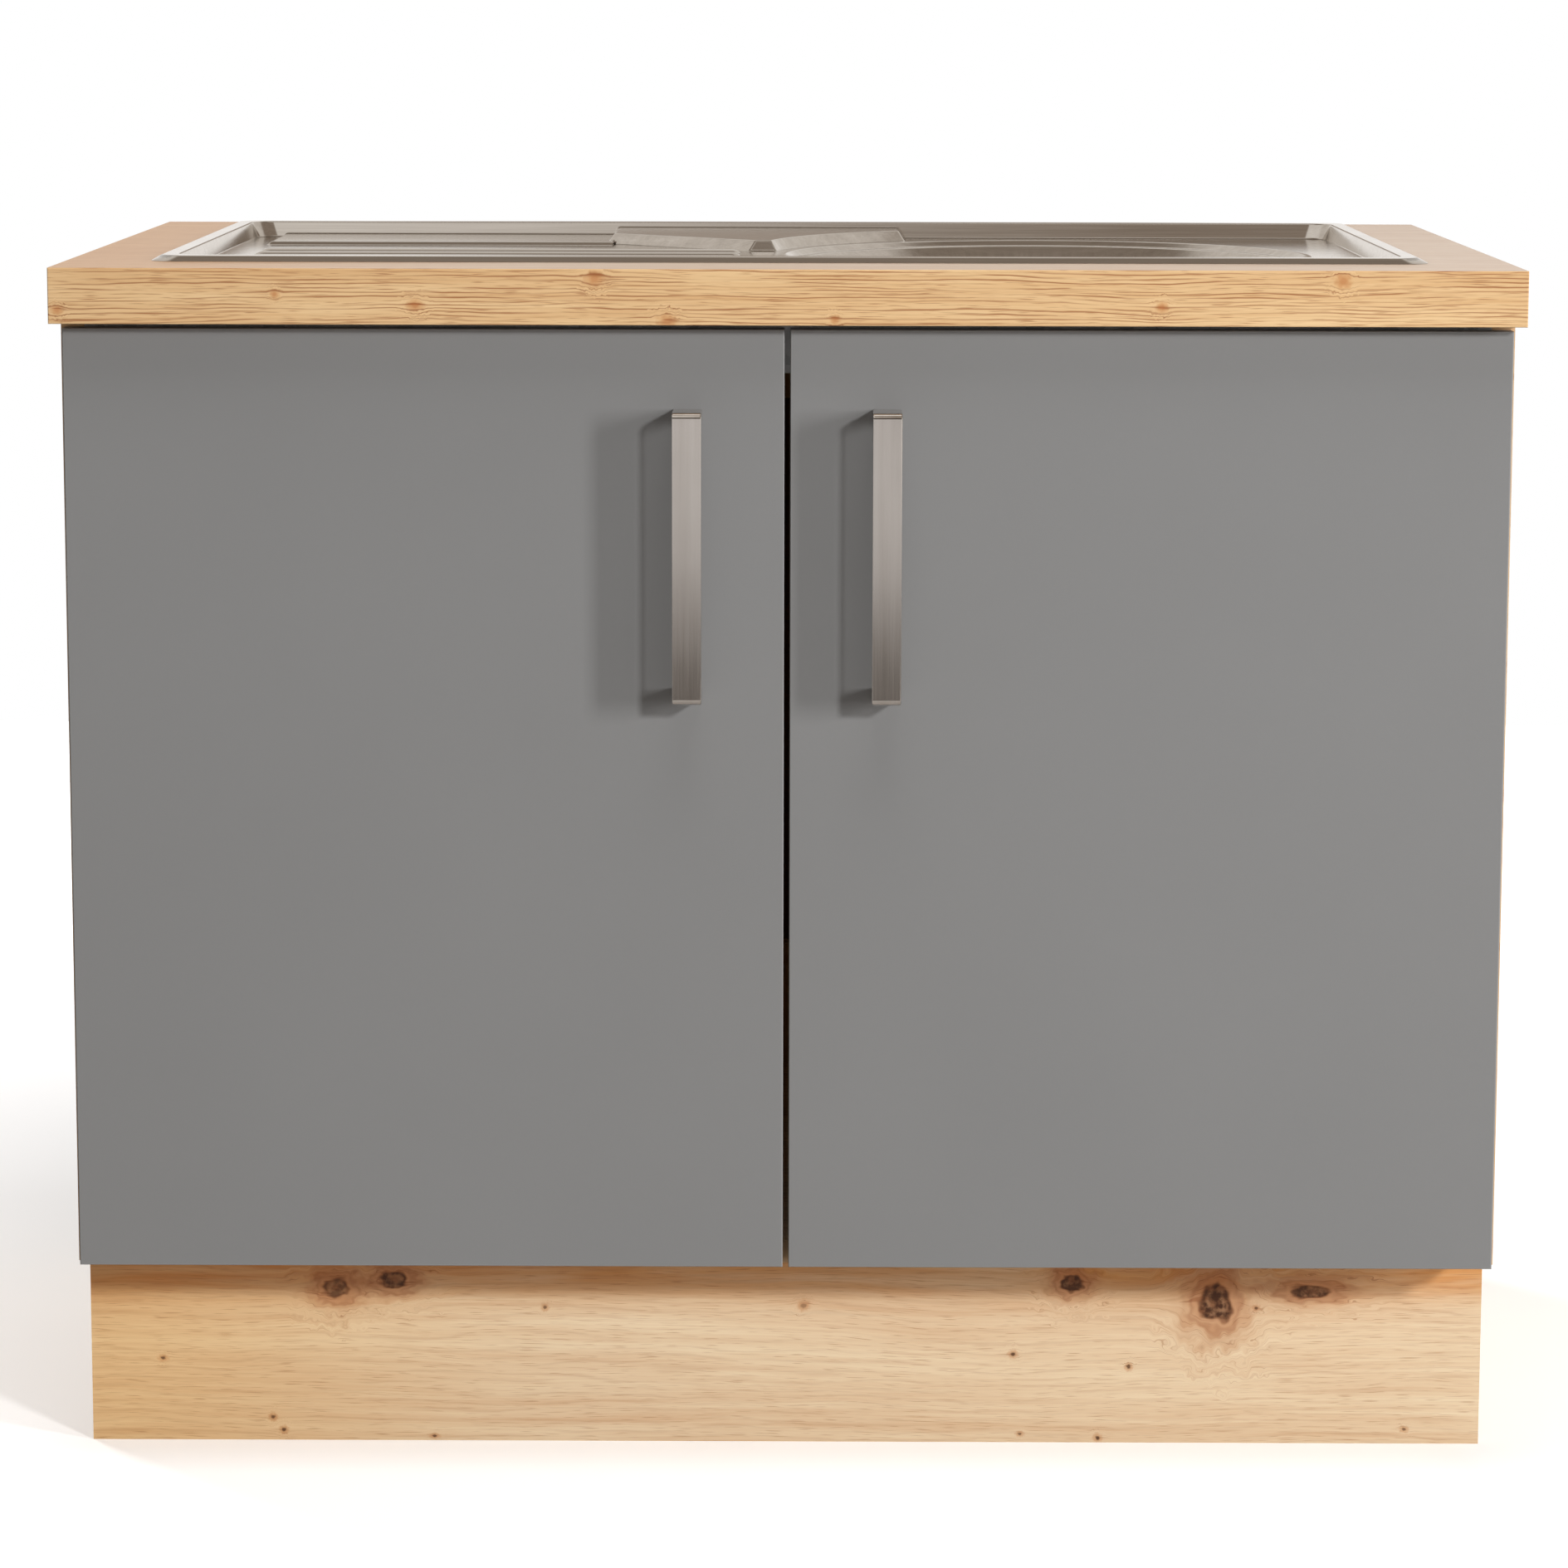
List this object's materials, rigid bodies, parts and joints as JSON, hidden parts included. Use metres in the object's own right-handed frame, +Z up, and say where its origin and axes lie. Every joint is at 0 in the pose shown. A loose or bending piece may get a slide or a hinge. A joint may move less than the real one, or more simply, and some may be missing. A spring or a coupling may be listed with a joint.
{
  "type": "kitchen sink unit",
  "caption": "Kitchen sink base cabinet: oak-decor worktop with an inset steel sink, ribbed drainer and round bowl, hinged grey doors, bow handles and a recessed plinth.",
  "frame": {"origin": "on the floor, under the middle of the whole unit with its handles", "axes": "+X to the right seen from the front, +Y to the back, +Z up"},
  "size_m": [1, 0.613, 0.854],
  "materials": {
    "worktop_oak": "matte oak-decor laminate",
    "worktop_edge_oak": "matte oak-decor edge band",
    "carcass_oak": "matte oak-decor board",
    "plinth_oak": "matte oak-decor board",
    "beech_dowel": "raw turned beech",
    "door_grey": "matte grey laminate on board",
    "door_band_grey": "matte grey edge band",
    "sink_steel": "brushed stainless sheet",
    "handle_steel": "brushed along the bar",
    "zinc_steel": "zinc-plated sheet",
    "screw_steel": "zinc-plated",
    "cam_zinc": "die-cast zinc",
    "hinge_nickel": "nickel-plated",
    "waste_plastic": "moulded polypropylene",
    "seal_rubber": "black rubber",
    "foam_seal": "foam strip",
    "bumper_clear": "soft translucent",
    "glide_plastic": "moulded plastic",
    "back_hardboard": "smooth brown hardboard"
  },
  "bodies": {
    "carcass": {"back_panel": "back_hardboard", "back_panel_screws": "screw_steel", "bottom_panel": "carcass_oak", "cam_bolts": "zinc_steel", "cam_discs": "cam_zinc", "carcass_edge_bands": "carcass_oak", "floor_glides": "glide_plastic", "front_rail": "zinc_steel", "front_rail_screws": "screw_steel", "inlet_nut": "waste_plastic", "inlet_pipe": "waste_plastic", "left_hinge_arms": "hinge_nickel", "left_mounting_plates": "hinge_nickel", "left_plate_screws": "screw_steel", "left_side_panel": "carcass_oak", "outlet_nut": "waste_plastic", "outlet_pipe": "waste_plastic", "plinth_board": "plinth_oak", "plinth_bracket_screws": "screw_steel", "plinth_brackets": "zinc_steel", "rear_bottom_rail": "carcass_oak", "rear_top_rail": "carcass_oak", "right_hinge_arms": "hinge_nickel", "right_mounting_plates": "hinge_nickel", "right_plate_screws": "screw_steel", "right_side_panel": "carcass_oak", "sink": "sink_steel", "sink_clamp_screws": "screw_steel", "sink_clamps": "zinc_steel", "sink_seal": "foam_seal", "strainer_flange": "sink_steel", "strainer_seal": "seal_rubber", "trap_body": "waste_plastic", "trap_cup": "waste_plastic", "waste_body": "waste_plastic", "wood_dowels": "beech_dowel", "worktop": "worktop_oak", "worktop_bracket_screws": "screw_steel", "worktop_brackets": "zinc_steel", "worktop_end_bands": "worktop_oak", "worktop_front_band": "worktop_edge_oak"},
    "left_door": {"left_door_panel": "door_grey", "left_door_bands": "door_band_grey", "left_handle": "handle_steel", "left_handle_screws": "screw_steel", "left_door_bumpers": "bumper_clear", "left_hinge_cups": "hinge_nickel", "left_hinge_pins": "hinge_nickel", "left_cup_screws": "screw_steel"},
    "right_door": {"right_door_panel": "door_grey", "right_door_bands": "door_band_grey", "right_handle": "handle_steel", "right_handle_screws": "screw_steel", "right_door_bumpers": "bumper_clear", "right_hinge_cups": "hinge_nickel", "right_hinge_pins": "hinge_nickel", "right_cup_screws": "screw_steel"},
    "strainer_basket": {"strainer_basket": "sink_steel"}
  },
  "joints": [
    {"name": "left_door_hinge", "type": "hinge", "parent": "carcass", "child": "left_door", "pos_m": [-0.4867, -0.2699, 0.48], "axis": [0, 0, -1], "range_deg": [0, 100]},
    {"name": "right_door_hinge", "type": "hinge", "parent": "carcass", "child": "right_door", "pos_m": [0.4867, -0.2699, 0.48], "axis": [0, 0, 1], "range_deg": [0, 100]},
    {"name": "strainer_basket_lift", "type": "slide", "parent": "carcass", "child": "strainer_basket", "axis": [0, 0, 1], "range_m": [0, 0.2]}
  ]
}
